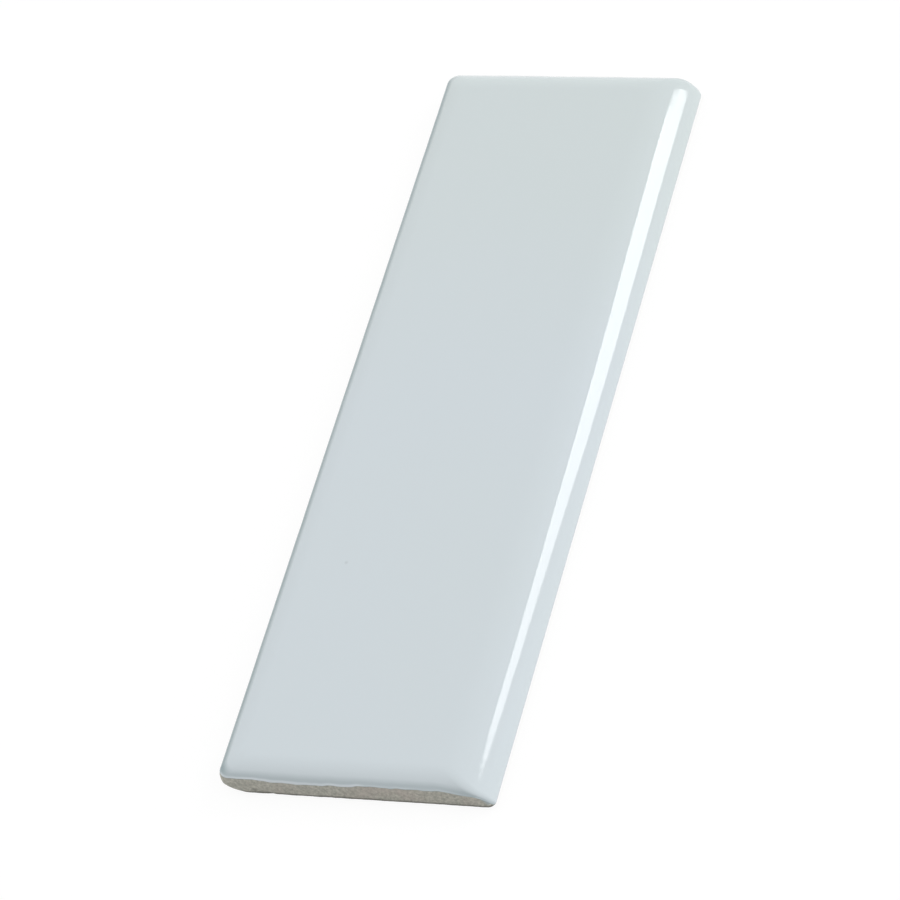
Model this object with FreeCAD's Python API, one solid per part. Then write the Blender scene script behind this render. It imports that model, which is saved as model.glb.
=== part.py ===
import FreeCAD, Part
import math
import os

# Bullnose wall tile, dust-pressed, glazed and fired as one piece.
# Frame: back on z = 0, glazed face up, length along Y, bullnose side at +X.
# All sizes are in millimetres.

# Overall size: 6 inches long and three tenths as wide
tile_length = 152.4
tile_width = 45.72
tile_thickness = 5.5

# Bullnose: long round nose along one long side, from the flat of the face down to a low upright foot;
# its reach is measured across and its fall downwards, as if the round ran on to upright
bullnose_reach = 8.9
bullnose_fall = 6.3
bullnose_foot = 0.6

# Cushion: roll of the face down to the walls at the square side and the two ends, longer across than it is deep
cushion_reach = 4.4
cushion_fall = 2.4
cushion_exit_angle = 75.0

# Corners: round of the outline seen from above, on the pressed face at either side;
# the mould's own corners at the square side grow rounder from the face to the back
square_corner_radius = 1.9
nose_corner_radius = 1.2
mould_face_radius = 0.8
mould_back_radius = 3.8

# Back: bevel round the rim, and a waffle of shallow pockets that key into the adhesive
back_bevel = 0.45
key_rim = 4.0
key_pocket = 10.4
key_rib = 2.8
key_depth = 0.7
key_draft_angle = 35.0
key_corner_radius = 1.8

# Number of levels that the pressed face is drawn through
face_levels = 18

# Worked out from the sizes above
half_width = tile_width / 2
half_length = tile_length / 2
cushion_exit = math.atan(cushion_reach / cushion_fall * math.tan(math.radians(cushion_exit_angle)))
cushion_overhang = cushion_reach * (1 - math.sin(cushion_exit))
key_pitch = key_pocket + key_rib
key_draft = key_depth * math.tan(math.radians(key_draft_angle))


def rounded_outline(x_low, x_high, y_low, y_high, z, low_radius, high_radius):
    """Closed rounded rectangle at height z, with a corner radius for its low and one for its high side in x."""
    corners = [
        (x_high - high_radius, y_low + high_radius, high_radius, -90),
        (x_high - high_radius, y_high - high_radius, high_radius, 0),
        (x_low + low_radius, y_high - low_radius, low_radius, 90),
        (x_low + low_radius, y_low + low_radius, low_radius, 180),
    ]
    arcs = []
    for x, y, radius, start in corners:
        circle = Part.Circle(FreeCAD.Vector(x, y, z), FreeCAD.Vector(0, 0, 1), radius)
        arcs.append(Part.Arc(circle, math.radians(start), math.radians(start + 90)))
    edges = []
    for arc, following in zip(arcs, arcs[1:] + arcs[:1]):
        edges.append(arc.toShape())
        edges.append(Part.LineSegment(arc.EndPoint, following.StartPoint).toShape())
    return Part.Wire(edges)


def roll_inset(reach, fall, drop):
    """How far a rolled edge that is tangent to the face lies inside its wall, at a depth below the face."""
    rise = max(0.0, 1 - drop / fall)
    return reach * (1 - math.sqrt(1 - rise ** 2))


def pressed_face():
    """Body under the pressed face: flat top, cushioned on three sides and bullnosed on the fourth."""
    nose_overhang = roll_inset(bullnose_reach, bullnose_fall, tile_thickness - bullnose_foot)
    sections = []
    for level in range(face_levels + 1):
        drop = tile_thickness * (1 - math.cos(math.pi / 2 * level / face_levels))
        inset = roll_inset(cushion_reach, cushion_fall, drop) - cushion_overhang
        nose_inset = roll_inset(bullnose_reach, bullnose_fall, drop) - nose_overhang
        sections.append(
            rounded_outline(
                inset - half_width,
                half_width - nose_inset,
                inset - half_length,
                half_length - inset,
                tile_thickness - drop,
                square_corner_radius,
                nose_corner_radius,
            )
        )
    return Part.makeLoft(sections, True, False)


def upright_edges(shape, side):
    """Edges of a shape that run up and lie on one side of the middle in x, -1 or 1."""
    return [edge for edge in shape.Edges if edge.BoundBox.ZLength > 0 and edge.CenterOfMass.x * side > half_width / 2]


def mould_box():
    """Upright walls of the mould, with round corners and the bevel round the back."""
    low_corner = FreeCAD.Vector(-half_width, -half_length, 0)
    walls = Part.makeBox(tile_width, tile_length, tile_thickness, low_corner)
    walls = walls.makeFillet(mould_back_radius, mould_face_radius, upright_edges(walls, -1))
    walls = walls.makeFillet(nose_corner_radius, upright_edges(walls, 1))
    back_edges = [edge for edge in walls.Edges if edge.BoundBox.ZMax < tile_thickness / 2]
    return walls.makeChamfer(back_bevel, back_edges)


def key_solid(x, y):
    """One drafted keying pocket, drawn as far below the back as above it."""
    outlines = []
    for z, growth in ((-key_depth, key_draft), (key_depth, -key_draft)):
        half = key_pocket / 2 + growth
        radius = key_corner_radius + growth
        outlines.append(rounded_outline(x - half, x + half, y - half, y + half, z, radius, radius))
    return Part.makeLoft(outlines, True, True)


def key_centres(span):
    """Centres of the pockets that fit across a span inside its rims, spread about the middle."""
    count = int((span - 2 * key_rim + key_rib) / key_pitch)
    return [key_pitch * (index - (count - 1) / 2) for index in range(count)]


def bullnose_tile():
    """The whole tile: the pressed face within the mould, with the keyed back cut into it."""
    keys = [key_solid(x, y) for x in key_centres(tile_width) for y in key_centres(tile_length)]
    return pressed_face().common(mould_box()).cut(keys).removeSplitter()


os.makedirs("parts", exist_ok=True)
bullnose_tile().exportStep("parts/bullnose_tile.step")
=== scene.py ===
import math
import bpy
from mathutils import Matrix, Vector, noise


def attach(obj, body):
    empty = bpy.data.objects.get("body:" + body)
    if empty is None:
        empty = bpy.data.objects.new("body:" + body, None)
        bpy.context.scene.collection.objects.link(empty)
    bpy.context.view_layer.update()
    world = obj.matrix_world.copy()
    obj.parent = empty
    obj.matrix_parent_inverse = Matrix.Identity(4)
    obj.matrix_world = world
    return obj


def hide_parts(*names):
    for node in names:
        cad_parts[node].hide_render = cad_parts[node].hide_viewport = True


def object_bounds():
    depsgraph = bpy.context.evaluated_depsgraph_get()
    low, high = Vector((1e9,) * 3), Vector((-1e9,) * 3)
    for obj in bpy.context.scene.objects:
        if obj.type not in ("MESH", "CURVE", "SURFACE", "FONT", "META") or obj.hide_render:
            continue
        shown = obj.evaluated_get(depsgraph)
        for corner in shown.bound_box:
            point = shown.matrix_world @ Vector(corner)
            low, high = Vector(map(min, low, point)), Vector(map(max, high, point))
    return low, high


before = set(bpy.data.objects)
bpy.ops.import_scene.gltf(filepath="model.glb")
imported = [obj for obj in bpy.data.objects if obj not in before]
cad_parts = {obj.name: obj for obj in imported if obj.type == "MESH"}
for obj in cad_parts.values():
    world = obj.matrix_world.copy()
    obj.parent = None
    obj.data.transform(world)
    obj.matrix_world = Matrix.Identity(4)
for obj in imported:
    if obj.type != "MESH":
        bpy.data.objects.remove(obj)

mm = 0.001
cadLow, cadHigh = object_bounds()
print("frame loaded:", [round(side, 5) for side in cadHigh - cadLow])


# helpers for working in edit mode

def editMode():
    bpy.ops.object.mode_set(mode="EDIT")


def objectMode():
    bpy.ops.object.mode_set(mode="OBJECT")


def pickEdges(obj, wanted):
    # leaves the mesh in edit mode with just the wanted edges selected
    editMode()
    bpy.ops.mesh.select_mode(type="EDGE")
    bpy.ops.mesh.select_all(action="DESELECT")
    objectMode()
    points = obj.data.vertices
    for edge in obj.data.edges:
        first, second = (points[i].co for i in edge.vertices)
        edge.select = wanted(first, second)
    editMode()


def pickPoints(obj, wanted):
    # leaves the mesh in edit mode with just the wanted points selected
    editMode()
    bpy.ops.mesh.select_mode(type="VERT")
    bpy.ops.mesh.select_all(action="DESELECT")
    objectMode()
    for vertex in obj.data.vertices:
        vertex.select = wanted(vertex.co)
    editMode()


def faceOutward():
    # turns the normals of a mesh in edit mode to its outside
    bpy.ops.mesh.select_all(action="SELECT")
    bpy.ops.mesh.normals_make_consistent(inside=False)


def roundedLoop(name, width, length, height, radii, segments):
    # a closed loop of edges: a plane with round corners at its low and its high side, with its face taken off
    bpy.ops.object.select_all(action="DESELECT")
    bpy.ops.mesh.primitive_plane_add(size=1, location=(0, 0, 0))
    obj = bpy.context.object
    obj.name = name
    obj.data.name = name
    editMode()
    bpy.ops.transform.resize(value=(width, length, 1))
    bpy.ops.transform.translate(value=(0, 0, height))
    for side, radius in zip((-1, 1), radii):
        pickPoints(obj, lambda point: point.x * side > 0)
        bpy.ops.mesh.bevel(offset=radius, offset_type="OFFSET", segments=segments, affect="VERTICES")
    bpy.ops.mesh.select_all(action="SELECT")
    bpy.ops.mesh.delete(type="ONLY_FACE")
    objectMode()
    return obj


# the tile's body: the CAD part's form, with rounder corners and a larger bevel at its foot

tile = {
    "cushionReach": 4.4 * mm,        # roll at the square side and the ends, across and down
    "cushionFall": 2.4 * mm,
    "cushionExit": 75.0,             # degrees, where the roll meets the wall
    "noseReach": 8.9 * mm,
    "noseFall": 6.3 * mm,
    "noseFoot": 0.6 * mm,
    "squareCorner": 1.9 * mm,
    "noseCorner": 1.2 * mm,
    "farNoseCorner": 1.6 * mm,       # at the foot of its far corner
    "mouldCorners": (1.4 * mm, 4.87 * mm),     # radius by the face, and at the foot where it is nipped off
    "mouldFade": 0.8 * mm,
    "wallEnd": 0.78 * mm,
    "backBevel": ((0.4 * mm, 0.38 * mm), (0.0, 0.78 * mm)),    # height and inset of its rings
    "cornerSegments": 12,
    "widthCuts": 116,
    "lengthCuts": 185,
    "glazeRings": 30,                # rings from the flat to the glaze line
    "clayRings": 11,                 # rings from the glaze line to the back bevel
    "glazeLine": 3.87 * mm,          # height where the glaze stops on the cushioned sides
    "noseLine": 0.79 * mm,           # and on the bullnose, where it runs down to the foot
    "cornerLine": 0.3 * mm,          # a little higher round the nose's corners
    "noseDrop": (                    # place along the ends in millimetres, and share of the drop to the foot
        (17.5, 0), (19.0, 0.05), (21.66, 0.2), (21.87, 0.25), (22.07, 0.33), (22.26, 0.52), (22.58, 1)),
    "bead": (0.05 * mm, 0.1 * mm, 0.05 * mm),  # swell of the glaze above its edge at the ends, ring by ring
    "lip": 0.16 * mm,                # how far the clay stands back under the glaze
    # waves have a depth, then the strength, size and seed of each of their parts
    "lineWave": 0.23 * mm,
    "lineParts": ((1.0, 9 * mm, 3.1), (0.6, 3 * mm, 7.7), (0.4, 1.2 * mm, 4.4)),
    "lineRise": 4,                   # power by which the line's waves grow down the glaze
    "faceWave": 0.012 * mm,          # slow waviness of the fired face
    "faceParts": ((1.0, 14 * mm, 0.4), (0.5, 6 * mm, 2.2)),
    "faceSink": 0.6,                 # keeps the face's waves low
    "clayRough": 0.05 * mm,
    "clayParts": ((1.0, 0.9 * mm, 1.3), (0.7, 2.6 * mm, 5.2)),
    "clayRise": 4,                   # how soon the clay's grain sets in below the glaze line
    "notch": {                       # small notch low in the near wall
        "place": (-16.83 * mm, 0.85 * mm),
        "lean": 0.2,
        "reach": 0.26 * mm,
        "top": 1.9 * mm,
        "depth": 0.15 * mm,
    },
}

width, length, thickness = cadHigh - cadLow
halfWidth, halfLength = width / 2, length / 2


def rollInset(reach, fall, drop):
    # how far a rolled edge lies inside its wall, at a drop below the face
    rise = max(0.0, 1 - drop / fall)
    return reach * (1 - math.sqrt(1 - rise ** 2))


exitSlope = math.tan(math.radians(tile["cushionExit"]))
cushionExit = math.atan(tile["cushionReach"] / tile["cushionFall"] * exitSlope)
cushionOverhang = tile["cushionReach"] * (1 - math.sin(cushionExit))
noseOverhang = rollInset(tile["noseReach"], tile["noseFall"], thickness - tile["noseFoot"])


def footGrowth(height):
    # 1 at the foot of the walls, fading to 0 above it
    return math.exp(min(0.0, tile["wallEnd"] - height) / tile["mouldFade"])


def squareRadius(height):
    # corner radius at the square side: that of the face, then that of the mould, which grows to the foot
    faceCorner, footCorner = tile["mouldCorners"]
    return max(tile["squareCorner"], faceCorner + (footCorner - faceCorner) * footGrowth(height))


def noseRadius(place, height):
    # corner radius at the nose, which grows to the foot at the far end
    nose = tile["noseCorner"]
    return nose + (tile["farNoseCorner"] - nose) * footGrowth(height) if place.y > 0 else nose


def outlinePoint(place, height, outward):
    # carries a point of the outermost outline to the outline at this height
    square, nose = tile["squareCorner"], tile["noseCorner"]
    low, high = square - halfWidth, halfWidth - nose
    radius = square if place.x < 0 else nose
    coreX = max(low, min(high, place.x))
    coreY = max(radius - halfLength, min(halfLength - radius, place.y))
    drop = thickness - height
    cushion = max(0.0, rollInset(tile["cushionReach"], tile["cushionFall"], drop) - cushionOverhang)
    noseInset = max(0.0, rollInset(tile["noseReach"], tile["noseFall"], drop) - noseOverhang)
    lowRadius, highRadius = squareRadius(height), noseRadius(place, height)
    newRadius = lowRadius if place.x < 0 else highRadius
    newLow = lowRadius + cushion - halfWidth
    newX = newLow + (coreX - low) / (high - low) * (halfWidth - highRadius - noseInset - newLow)
    newY = coreY * (halfLength - cushion - newRadius) / (halfLength - radius)
    swell = (newRadius + outward) / radius
    return Vector((newX + (place.x - coreX) * swell, newY + (place.y - coreY) * swell, height))


def noseShare(place):
    # 0 on the cushioned sides, 1 along the bullnose, rising along the ends towards it
    steps = tile["noseDrop"]
    for (start, low), (end, high) in zip(steps, steps[1:]):
        if place.x < end * mm:
            return low + (high - low) * max(0.0, place.x / mm - start) / (end - start)
    return 1.0


def sideShares(place):
    # how far a place on the outline belongs to the square side, the near end and the far end
    square, nose = tile["squareCorner"], tile["noseCorner"]
    radius = square if place.x < 0 else nose
    outX = place.x - max(square - halfWidth, min(halfWidth - nose, place.x))
    outY = place.y - max(radius - halfLength, min(halfLength - radius, place.y))
    whole = outX ** 2 + outY ** 2
    return [max(0.0, out) ** 2 / whole for out in (-outX, -outY, outY)]


def waves(point, parts):
    total = 0.0
    for strength, size, seed in parts:
        spot = Vector((point.x / size + seed, point.y / size, point.z / size))
        total += strength * noise.noise(spot)
    return total


def onNotch(point):
    # 1 in the notch, fading to 0 around it
    notch = tile["notch"]
    notchX, notchZ = notch["place"]
    away = (point.x - (notchX - notch["lean"] * (point.z - notchZ))) / notch["reach"]
    return math.exp(-away ** 2) if point.y < 0 and point.z < notch["top"] else 0.0


def rollHeight(fall, end, step):
    # height on a rolled edge that runs from the face down to its end height
    sweep = math.acos(1 - (thickness - end) / fall)
    return thickness - fall * (1 - math.cos(sweep * step))


def ringPoint(ring, place):
    # where one ring of the mesh passes one place round the tile
    lastGlaze, lastClay = tile["glazeRings"], tile["glazeRings"] + tile["clayRings"]
    if ring > lastClay:
        height, inset = tile["backBevel"][ring - lastClay - 1]
        return outlinePoint(place, height, -inset)
    share, onEnds = noseShare(place), sum(sideShares(place)[1:])
    noseLine = tile["noseLine"] + tile["cornerLine"] * onEnds
    ripple = waves(place, tile["lineParts"]) * (tile["lineWave"] * (1 - share))
    if ring <= lastGlaze:
        step = ring / lastGlaze
        onCushion = rollHeight(tile["cushionFall"], tile["glazeLine"], step)
        onNose = rollHeight(tile["noseFall"], noseLine, step)
        height = onCushion + (onNose - onCushion) * share + ripple * step ** tile["lineRise"]
        below = lastGlaze - ring
        outward = tile["bead"][below] if below < len(tile["bead"]) else 0.0
        return outlinePoint(place, height, outward * (1 - share) * onEnds)
    step = (ring - lastGlaze) / tile["clayRings"]
    line = tile["glazeLine"] + (noseLine - tile["glazeLine"]) * share + ripple
    height = line + (tile["wallEnd"] - line) * (1 - math.cos(math.pi * step)) / 2
    point = Vector((place.x, place.y, height))
    grain = tile["clayRough"] * waves(point, tile["clayParts"]) * min(1.0, step * tile["clayRise"])
    back = (tile["lip"] - tile["bead"][0]) * (1 - step) + grain + tile["notch"]["depth"] * onNotch(point)
    return outlinePoint(place, height, -back * (1 - share))


# painted shade and highlight round the tile's edge, and thin glaze run over the clay, which the finishes read

shading = {
    "contactShade": 1.12,                    # painted contact shadow at the foot of the clay: strength and reach
    "contactShadeReach": 0.4 * mm,
    # painted shade in the notch
    "notchShade": 0.75,
    "contactShadeLeast": 0.02,
    "film": (5, -1.2, 0.85),         # thin glaze on the clay by the nose: rise with its share, start and most
    "sideShade": (1.0, 0.33, 0.08),       # painted shade above the glaze edge along the square side, near end and far end
    "sideShadeReach": (6.5, 6.0, 4.5),    # in rings above the edge: whole for one reach, gone after two
    "nearCornerShade": 1.1,               # painted shade round the foot of the nose at its near corner
    "cornerShare": 0.4,              # share of the nose where it is whole
    "cornerSpread": 1.6,
    "cornerReach": 4,                # in rings
    "lipHighlight": (0.3, 1.0, 0.8, 0.2), # painted highlight on the bead, ring by ring
    "lipSpread": 2,                  # how soon it sets in round the near end's corners
    "lipByNose": (0.3, 0.65),        # share of the nose from where it has this strength
    "lipAlong": (0.15, 1.5, 3 * mm), # elsewhere it fades along the end: least, start and reach
    "lipLight": (0.5, 0.6),          # strength and level of its light
    "lipParts": ((1.3, 5 * mm, 8.6),),
}


def clayShadeAndFilm(point, share):
    # above 0 for the painted contact shadow at the foot and painted shade in the notch, below 0 where thin
    # glaze has run over the clay
    contactShade = min(1.0, shading["contactShade"] - (point.z - tile["wallEnd"]) / shading["contactShadeReach"])
    contactShade = max(contactShade, shading["notchShade"] * onNotch(point))
    rise, start, most = shading["film"]
    return contactShade if contactShade > shading["contactShadeLeast"] else -max(0.0, min(most, rise * share + start))


def glazeShade(below, sides, share):
    # painted shade above the glaze edge, and round the foot of the nose at its near corner
    corner = min(1.0, share / shading["cornerShare"], shading["cornerSpread"] * sides[1])
    shade = shading["nearCornerShade"] * corner * math.exp(-below / shading["cornerReach"])
    for side, depth, reach in zip(sides, shading["sideShade"], shading["sideShadeReach"]):
        shade += side * depth * max(0.0, min(1.0, 2 - below / reach)) * (1 - share)
    return shade


def paintedLipHighlight(shade, below, place, near, share):
    # how much the painted highlight on the lip of the near end takes off the shade there
    noseStart, strong = shading["lipByNose"]
    if share <= noseStart:
        least, start, reach = shading["lipAlong"]
        strong = max(least, min(1.0, start - place.x / reach))
    gain, level = shading["lipLight"]
    lit = max(0.0, min(1.0, level + waves(place, shading["lipParts"]) + share))
    onLip = min(1.0, shading["lipSpread"] * near) * (1 - share ** 3)
    return onLip * strong * shading["lipHighlight"][below] * (shade + gain * lit)


def paintedLightAndFilm(ring, place, point):
    # above 0 for painted shade above the glaze edge and painted contact shadow at the clay's foot, below 0 for
    # the painted highlight on the lip and for thin glaze run over the clay
    below = tile["glazeRings"] - ring
    if below < -tile["clayRings"]:
        return 0.0
    sides, share = sideShares(place), noseShare(place)
    if below < 0:
        return clayShadeAndFilm(point, share)
    shade = glazeShade(below, sides, share)
    if below < len(shading["lipHighlight"]):
        shade -= paintedLipHighlight(shade, below, place, sides[1], share)
    return shade


# the tile's mesh, built from its outline inwards and down

def outlineLoop():
    corners = (tile["squareCorner"], tile["noseCorner"])
    obj = roundedLoop("bullnoseTile", width, length, thickness, corners, tile["cornerSegments"])
    pickEdges(obj, lambda a, b: abs(a.x - b.x) > width / 2)
    bpy.ops.mesh.subdivide(number_cuts=tile["widthCuts"])
    pickEdges(obj, lambda a, b: abs(a.y - b.y) > length / 2)
    bpy.ops.mesh.subdivide(number_cuts=tile["lengthCuts"])
    objectMode()
    return obj


def fillFace(obj, places):
    # fills the flat of the face between the two end chains of the outline, and stays in edit mode
    def onEnd(a, b):
        fromSide = halfWidth - abs(a.x + b.x) / 2
        return halfLength - abs(a.y + b.y) / 2 < min(tile["squareCorner"], fromSide)

    pickEdges(obj, onEnd)
    objectMode()
    for vertex in obj.data.vertices:
        vertex.co = ringPoint(0, places[vertex.index])
    editMode()
    bpy.ops.mesh.fill_grid(use_interp_simple=True)


def drawRings(mesh, places):
    # rings are drawn down from the rim, then each is settled in its place
    bpy.ops.mesh.select_all(action="DESELECT")
    bpy.ops.mesh.select_non_manifold(
        extend=False, use_wire=False, use_boundary=True,
        use_multi_face=False, use_non_contiguous=False, use_verts=False)
    ringCount = tile["glazeRings"] + tile["clayRings"] + len(tile["backBevel"])
    for ring in range(ringCount):
        bpy.ops.mesh.extrude_edges_move()
    bpy.ops.mesh.edge_face_add()
    objectMode()
    count, total = len(places), len(mesh.vertices)
    firstNew = total - ringCount * count
    ringOf = [0 if i < firstNew else 1 + (i - firstNew) // count for i in range(total)]
    above = {}
    for edge in mesh.edges:
        a, b = sorted(edge.vertices)
        if b >= firstNew and ringOf[b] == ringOf[a] + 1 and (a < count or a >= firstNew):
            above[b] = a
    placeOf = {i: places[i] for i in range(count)}
    for i in range(firstNew, total):
        placeOf[i] = placeOf[above[i]]
        mesh.vertices[i].co = ringPoint(ringOf[i], placeOf[i])
    print("body rings:", ringCount, "of", count, "points")
    return ringOf, placeOf


def waveFace(mesh, ringOf):
    # slow waviness of the glazed face, which fades towards the glaze line
    for vertex, ring in zip(mesh.vertices, ringOf):
        if ring < tile["glazeRings"]:
            flat = Vector((vertex.co.x, vertex.co.y, 0))
            fade = 1 - ring / tile["glazeRings"]
            vertex.co.z += tile["faceWave"] * fade * (waves(flat, tile["faceParts"]) - tile["faceSink"])


def dressBody(mesh, ringOf, placeOf):
    # clay shows below the glaze, and both get painted shade and highlight towards the edge
    shade = mesh.attributes.new("paintedLightAndFilm", "FLOAT", "POINT")
    for i, place in placeOf.items():
        shade.data[i].value = paintedLightAndFilm(ringOf[i], place, mesh.vertices[i].co)
    for finish in finishes:
        mesh.materials.append(finish)
    for face in mesh.polygons:
        face.material_index = int(min(ringOf[i] for i in face.vertices) > tile["glazeRings"])


def buildBody():
    obj = outlineLoop()
    places = [vertex.co.copy() for vertex in obj.data.vertices]
    fillFace(obj, places)
    ringOf, placeOf = drawRings(obj.data, places)
    waveFace(obj.data, ringOf)
    dressBody(obj.data, ringOf, placeOf)
    editMode()
    faceOutward()
    objectMode()
    return obj


# pockets in the back that key into the adhesive

keys = {
    "rim": 4.0 * mm,
    "pocket": 10.4 * mm,
    "rib": 2.8 * mm,
    "cornerRadius": 1.8 * mm,
    "cornerSegments": 5,
    "levels": (                      # height and growth of each ring of a pocket in millimetres
        (-0.5, 0.5), (0.0, 0.26), (0.12, 0.06), (0.25, -0.05), (0.55, -0.33), (0.66, -0.46), (0.7, -0.75)),
    "smoothAngle": 38,               # degrees
    "backBand": 0.001 * mm,          # edges no further from the back's plane stay sharp
}
keyPitch = keys["pocket"] + keys["rib"]


def keyCentres(span):
    count = int((span - 2 * keys["rim"] + keys["rib"]) / keyPitch)
    return [keyPitch * (index - (count - 1) / 2) for index in range(count)]


def buildKeys():
    side, corners = keys["pocket"], (keys["cornerRadius"], keys["cornerRadius"])
    height, growth = keys["levels"][0]
    size = side + 2 * growth * mm
    obj = roundedLoop("keyPocket", size, size, height * mm, corners, keys["cornerSegments"])
    editMode()
    bpy.ops.mesh.select_all(action="SELECT")
    bpy.ops.mesh.edge_face_add()
    for nextHeight, nextGrowth in keys["levels"][1:]:
        newSize = side + 2 * nextGrowth * mm
        bpy.ops.mesh.extrude_region_move(
            TRANSFORM_OT_translate={"value": (0, 0, (nextHeight - height) * mm)})
        bpy.ops.transform.resize(
            value=(newSize / size, newSize / size, 1), center_override=(0, 0, nextHeight * mm))
        height, size = nextHeight, newSize
    faceOutward()
    columns, rows = keyCentres(width), keyCentres(length)
    bpy.ops.transform.translate(value=(columns[0], rows[0], 0))
    objectMode()
    for count, step in ((len(columns), (keyPitch, 0, 0)), (len(rows), (0, keyPitch, 0))):
        row = obj.modifiers.new("row", "ARRAY")
        row.count = count
        row.use_relative_offset = False
        row.use_constant_offset = True
        row.constant_offset_displace = step
        bpy.ops.object.modifier_apply(modifier=row.name)
    for finish in finishes:
        obj.data.materials.append(finish)
    for face in obj.data.polygons:
        face.material_index = 1      # clay
    print("key pockets:", len(columns), "by", len(rows))
    return obj


def cutKeys(obj, cutter):
    bpy.ops.object.select_all(action="DESELECT")
    bpy.context.view_layer.objects.active = obj
    obj.select_set(True)
    cut = obj.modifiers.new("keys", "BOOLEAN")
    cut.operation = "DIFFERENCE"
    cut.solver = "EXACT"
    cut.object = cutter
    bpy.ops.object.modifier_apply(modifier=cut.name)
    bpy.data.objects.remove(cutter)
    bpy.ops.object.shade_smooth_by_angle(angle=math.radians(keys["smoothAngle"]))
    pickEdges(obj, lambda a, b: max(abs(a.z), abs(b.z)) < keys["backBand"])
    bpy.ops.mesh.mark_sharp()
    objectMode()


# helpers for materials

def newMaterial(name):
    material = bpy.data.materials.new(name)
    material.use_nodes = True
    material.node_tree.nodes.clear()
    return material, material.node_tree


def addNode(tree, kind, settings=None, inputs=None):
    # inputs are fixed values, or sockets to link from
    node = tree.nodes.new(kind)
    for key, value in (settings or {}).items():
        setattr(node, key, value)
    for key, value in (inputs or {}).items():
        if isinstance(value, bpy.types.NodeSocket):
            tree.links.new(value, node.inputs[key])
        else:
            node.inputs[key].default_value = value
    return node


def doMath(tree, operation, *values):
    node = addNode(tree, "ShaderNodeMath", {"operation": operation}, dict(enumerate(values)))
    return node.outputs[0]


def dotProduct(tree, first, second):
    node = addNode(tree, "ShaderNodeVectorMath", {"operation": "DOT_PRODUCT"}, {0: first, 1: second})
    return node.outputs["Value"]


def mapRange(tree, value, given=(0.0, 1.0), wanted=(0.0, 1.0), kind="LINEAR"):
    node = addNode(tree, "ShaderNodeMapRange", {"interpolation_type": kind}, {
        "Value": value, "From Min": given[0], "From Max": given[1], "To Min": wanted[0], "To Max": wanted[1]})
    return node.outputs["Result"]


def mixColour(tree, amount, first, second):
    node = addNode(tree, "ShaderNodeMix", {"data_type": "RGBA"}, {0: amount, 6: first, 7: second})
    return node.outputs[2]


def addSurface(tree, colour, roughness, bump, grain):
    # the shader and the output of a fired surface; bump is the strength and depth of its grain
    strength, depth = bump
    relief = addNode(tree, "ShaderNodeBump", None, {"Height": grain, "Strength": strength, "Distance": depth})
    shader = addNode(tree, "ShaderNodeBsdfPrincipled", None, {
        "Base Color": colour, "Roughness": roughness, "Normal": relief.outputs["Normal"]})
    addNode(tree, "ShaderNodeOutputMaterial", None, {"Surface": shader.outputs["BSDF"]})
    return shader


mottle = {
    "Patch": 2.0,                    # detail of the soft cloudy patches and of the fine grain
    "Grain": 4.0,
    "roughness": 0.55,
    "range": (0.3, 0.7),
}


def mottleGroup():
    # shared by the glaze and the clay
    group = bpy.data.node_groups.new("firedMottle", "ShaderNodeTree")
    for name in ("Patch Size", "Grain Size"):
        group.interface.new_socket(name, in_out="INPUT", socket_type="NodeSocketFloat")
    for name in ("Patch", "Grain"):
        group.interface.new_socket(name, in_out="OUTPUT", socket_type="NodeSocketFloat")
    entry = group.nodes.new("NodeGroupInput")
    leave = group.nodes.new("NodeGroupOutput")
    place = group.nodes.new("ShaderNodeTexCoord").outputs["Object"]
    for name in ("Patch", "Grain"):
        scale = doMath(group, "DIVIDE", 1.0, entry.outputs[name + " Size"])
        cloud = addNode(group, "ShaderNodeTexNoise", None, {
            "Vector": place, "Scale": scale, "Detail": mottle[name], "Roughness": mottle["roughness"]})
        group.links.new(mapRange(group, cloud.outputs["Fac"], mottle["range"]), leave.inputs[name])
    return group


firedMottle = mottleGroup()


def addMottle(tree, finish):
    node = addNode(tree, "ShaderNodeGroup", {"node_tree": firedMottle},
                   {"Patch Size": finish["patchSize"], "Grain Size": finish["grainSize"]})
    return node.outputs["Patch"], node.outputs["Grain"]


# finishes

glaze = {
    "farTint": (0.604, 0.667, 0.673, 1),
    "nearTint": (0.608, 0.670, 0.703, 1),
    "drift": (-0.2 * halfLength, halfLength),  # where the near tint gives way to the far one
    "cloud": (-0.2, 0.2),            # how far patches shift the drift
    # painted shade above the glaze edge
    "paintedShadeTint": (0.265, 0.345, 0.36, 1),
    # painted highlight on the lip
    "lipHighlightTint": (0.66, 0.69, 0.73, 1),
    "speckTint": (0.46, 0.51, 0.53, 1),
    "speckPlace": (-12.0 * mm, -33.5 * mm, 5.5 * mm),
    "speckReach": (0.45 * mm, 0.1 * mm),
    "speckMost": 0.5,
    "patchSize": 60 * mm,
    "grainSize": 2.5 * mm,
    "gloss": (0.03, 0.06),           # roughness
    "bump": (0.02, 0.1 * mm),
    "ior": 1.5,
}


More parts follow.
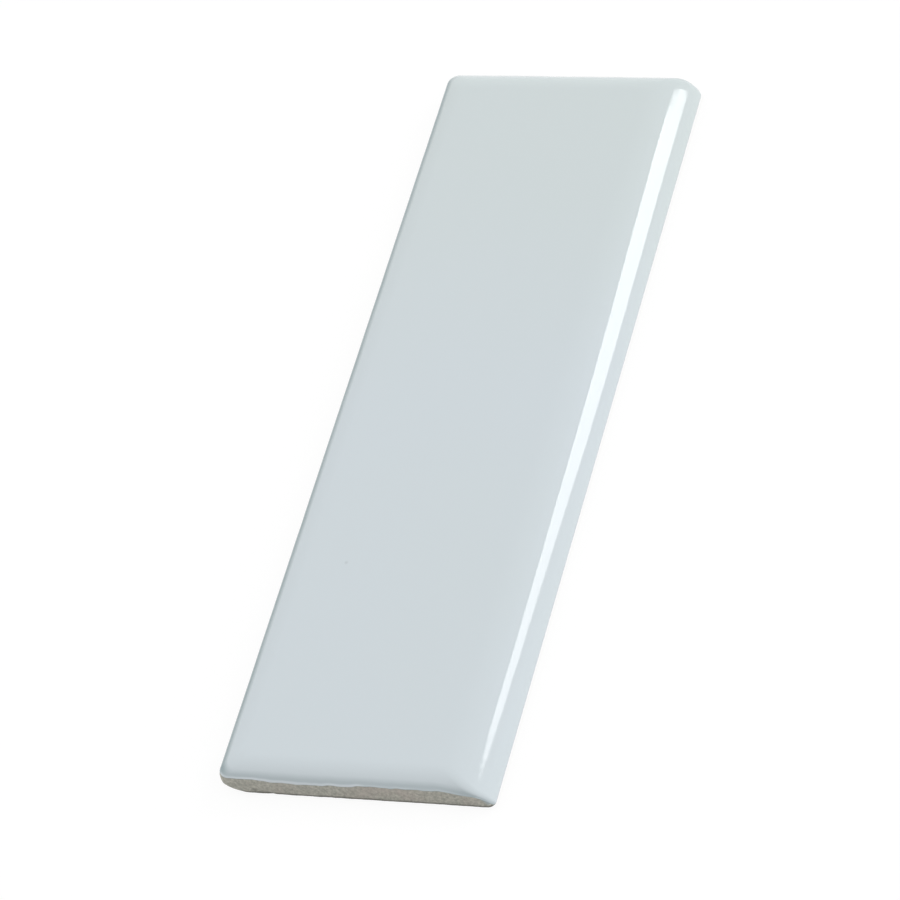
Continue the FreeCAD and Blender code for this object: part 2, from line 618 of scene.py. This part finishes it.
def glazeMaterial():
    material, tree = newMaterial("whiteGlaze")
    patch, grain = addMottle(tree, glaze)
    place = tree.nodes.new("ShaderNodeTexCoord").outputs["Object"]
    along = addNode(tree, "ShaderNodeSeparateXYZ", None, {0: place}).outputs["Y"]
    drift = mapRange(tree, along, glaze["drift"], kind="SMOOTHSTEP")
    blend = addNode(tree, "ShaderNodeMath", {"operation": "ADD", "use_clamp": True},
                    {0: drift, 1: mapRange(tree, patch, wanted=glaze["cloud"])}).outputs[0]
    colour = mixColour(tree, blend, glaze["nearTint"], glaze["farTint"])
    shade = addNode(tree, "ShaderNodeAttribute", {"attribute_name": "paintedLightAndFilm"}).outputs["Fac"]
    # painted shade towards the glaze edge
    colour = mixColour(tree, mapRange(tree, shade), colour, glaze["paintedShadeTint"])
    # painted highlight on the lip of the glaze
    colour = mixColour(tree, mapRange(tree, shade, (0.0, -1.0)), colour, glaze["lipHighlightTint"])
    away = addNode(tree, "ShaderNodeVectorMath", {"operation": "DISTANCE"}, {0: place, 1: glaze["speckPlace"]})
    speck = mapRange(tree, away.outputs["Value"], glaze["speckReach"], (0.0, glaze["speckMost"]), "SMOOTHSTEP")
    colour = mixColour(tree, speck, colour, glaze["speckTint"])
    gloss = mapRange(tree, grain, wanted=glaze["gloss"])
    shader = addSurface(tree, colour, gloss, glaze["bump"], grain)
    shader.inputs["IOR"].default_value = glaze["ior"]
    return material


clay = {
    "paleTint": (0.605, 0.59, 0.52, 1),
    "darkTint": (0.348, 0.347, 0.303, 1),
    "pinkTint": (0.53, 0.455, 0.415, 1),
    "pinkFrom": 0.45,
    "pinkMost": 0.4,
    "filmTint": (0.36, 0.41, 0.42, 1),         # thin glaze run over the clay at the nose's corners
    # painted contact shadow at the foot and painted shade in the notch: colour and most share
    "contactShadeTint": (0.11, 0.108, 0.095, 1),
    "contactShadeMost": 0.95,
    "patchSize": 5 * mm,
    "grainSize": 0.5 * mm,
    "roughness": (0.82, 0.95),
    "bump": (0.5, 0.12 * mm),
}


def clayMaterial():
    material, tree = newMaterial("bareClay")
    patch, grain = addMottle(tree, clay)
    colour = mixColour(tree, grain, clay["darkTint"], clay["paleTint"])
    blush = mapRange(tree, patch, (clay["pinkFrom"], 1.0), (0.0, clay["pinkMost"]))
    colour = mixColour(tree, blush, colour, clay["pinkTint"])
    # painted shade and thin glaze over the clay, read from the edge values
    shade = addNode(tree, "ShaderNodeAttribute", {"attribute_name": "paintedLightAndFilm"}).outputs["Fac"]
    colour = mixColour(tree, mapRange(tree, shade, (0.0, -1.0)), colour, clay["filmTint"])
    # painted contact shadow at the foot and painted shade in the notch
    colour = mixColour(tree, mapRange(tree, shade, wanted=(0.0, clay["contactShadeMost"])), colour, clay["contactShadeTint"])
    addSurface(tree, colour, mapRange(tree, grain, wanted=clay["roughness"]), clay["bump"], grain)
    return material


finishes = (glazeMaterial(), clayMaterial())
body = buildBody()
cutKeys(body, buildKeys())
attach(body, "root")
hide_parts("bullnose_tile")
print("tile built:", len(body.data.polygons), "faces")


# floor, softbox, world and camera

stage = {
    "white": (1, 1, 1, 1),
    "floorSize": 8.0,
    "floorPlace": (0, 0, -0.02 * mm),
    "floorTint": (0.9, 0.9, 0.9, 1),
    "floorWhite": 0.9,               # share of plain white that the camera sees, so the shadow stays faint
    "floorLift": 1.02,
    "boxAim": (0.72, 0.51, 0.47),    # where the softbox stands, seen from the tile
    "boxDistance": 1.2,
    "boxCorners": (                  # millimetres across and up
        (339, 110), (380, 197), (416, 255), (447, 301), (470, 343), (476, 373), (389, 337), (314, 303),
        (285, 298), (217, 310), (172, 317), (154, 355), (137, 338), (87, 264), (54, 201), (43, 160), (34, 109),
        (42, 38), (58, -43), (68, -164), (101, -205), (152, -176), (190, -158), (218, -172), (239, -110),
        (285, -2)),
    "boxSpan": (0.0, 0.45),          # metres across, over which its light grows
    "boxLight": (5.8, 8.5),
    "skyLevel": -0.53,               # the room: overhead, far side and both side walls
    "skyAim": (0.07, 0.31, 1.42),
    "skySides": 1.91,
}


def seenDirectly(tree):
    # 1 for rays that show the background itself: straight, in gloss or through glass
    path = tree.nodes.new("ShaderNodeLightPath").outputs
    first = doMath(tree, "MAXIMUM", path["Is Camera Ray"], path["Is Glossy Ray"])
    return doMath(tree, "MAXIMUM", first, path["Is Transmission Ray"])


def mixShader(tree, amount, first, second):
    node = addNode(tree, "ShaderNodeMixShader", None, {0: amount, 1: first.outputs[0], 2: second.outputs[0]})
    return node.outputs[0]


def buildFloor():
    bpy.ops.object.select_all(action="DESELECT")
    bpy.ops.mesh.primitive_plane_add(size=stage["floorSize"], location=stage["floorPlace"])
    floor = bpy.context.object
    floor.name = "floor"
    material, tree = newMaterial("paleFloor")
    matt = addNode(tree, "ShaderNodeBsdfDiffuse", None, {"Color": stage["floorTint"]})
    lift = addNode(tree, "ShaderNodeEmission", None, {"Strength": stage["floorLift"]})
    share = doMath(tree, "MULTIPLY", seenDirectly(tree), stage["floorWhite"])
    addNode(tree, "ShaderNodeOutputMaterial", None, {"Surface": mixShader(tree, share, matt, lift)})
    floor.data.materials.append(material)


def buildSoftbox():
    aim = Vector(stage["boxAim"]).normalized()
    across = Vector((0, 0, 1)).cross(aim).normalized()
    up = aim.cross(across)
    corners = [aim * stage["boxDistance"] + across * a * mm + up * b * mm for a, b in stage["boxCorners"]]
    bpy.ops.object.select_all(action="DESELECT")
    bpy.ops.mesh.primitive_circle_add(vertices=len(corners), fill_type="NGON", location=(0, 0, 0))
    box = bpy.context.object
    box.name = "softbox"
    for vertex, corner in zip(box.data.vertices, corners):
        vertex.co = corner
    material, tree = newMaterial("softboxLight")
    place = tree.nodes.new("ShaderNodeTexCoord").outputs["Object"]
    level = mapRange(tree, dotProduct(tree, place, across), stage["boxSpan"], stage["boxLight"])
    glow = addNode(tree, "ShaderNodeEmission", None, {"Strength": level})
    addNode(tree, "ShaderNodeOutputMaterial", None, {"Surface": glow.outputs[0]})
    box.data.materials.append(material)
    box.visible_camera = False


def buildWorld():
    world = bpy.data.worlds.new("studio")
    bpy.context.scene.world = world
    world.use_nodes = True
    tree = world.node_tree
    tree.nodes.clear()
    toward = tree.nodes.new("ShaderNodeTexCoord").outputs["Generated"]
    sideways = addNode(tree, "ShaderNodeSeparateXYZ", None, {0: toward}).outputs["X"]
    square = doMath(tree, "MULTIPLY", sideways, sideways)
    walls = doMath(tree, "MULTIPLY_ADD", square, stage["skySides"], stage["skyLevel"])
    level = doMath(tree, "ADD", dotProduct(tree, toward, stage["skyAim"]), walls)
    level = doMath(tree, "MAXIMUM", level, 0.0)
    room = addNode(tree, "ShaderNodeBackground", None, {"Color": stage["white"], "Strength": level})
    plain = addNode(tree, "ShaderNodeBackground", None, {"Color": stage["white"], "Strength": 1.0})
    shown = mixShader(tree, seenDirectly(tree), room, plain)
    addNode(tree, "ShaderNodeOutputWorld", None, {"Surface": shown})


view = {
    "place": (0.2737573, -0.4924302, 0.6033455),
    "turn": (41.0491782, 13.7204034, 14.3447972),
    "lens": 200.1710,
    "sensor": 36,
}


def buildCamera():
    bpy.ops.object.select_all(action="DESELECT")
    turn = [math.radians(angle) for angle in view["turn"]]
    bpy.ops.object.camera_add(location=view["place"], rotation=turn)
    camera = bpy.context.object
    camera.name = "photoCamera"
    camera.data.sensor_width = view["sensor"]
    camera.data.lens = view["lens"]
    bpy.context.scene.camera = camera


buildFloor()
buildSoftbox()
buildWorld()
buildCamera()
bpy.context.scene.view_settings.view_transform = "Standard"
print("stage, light and camera set")
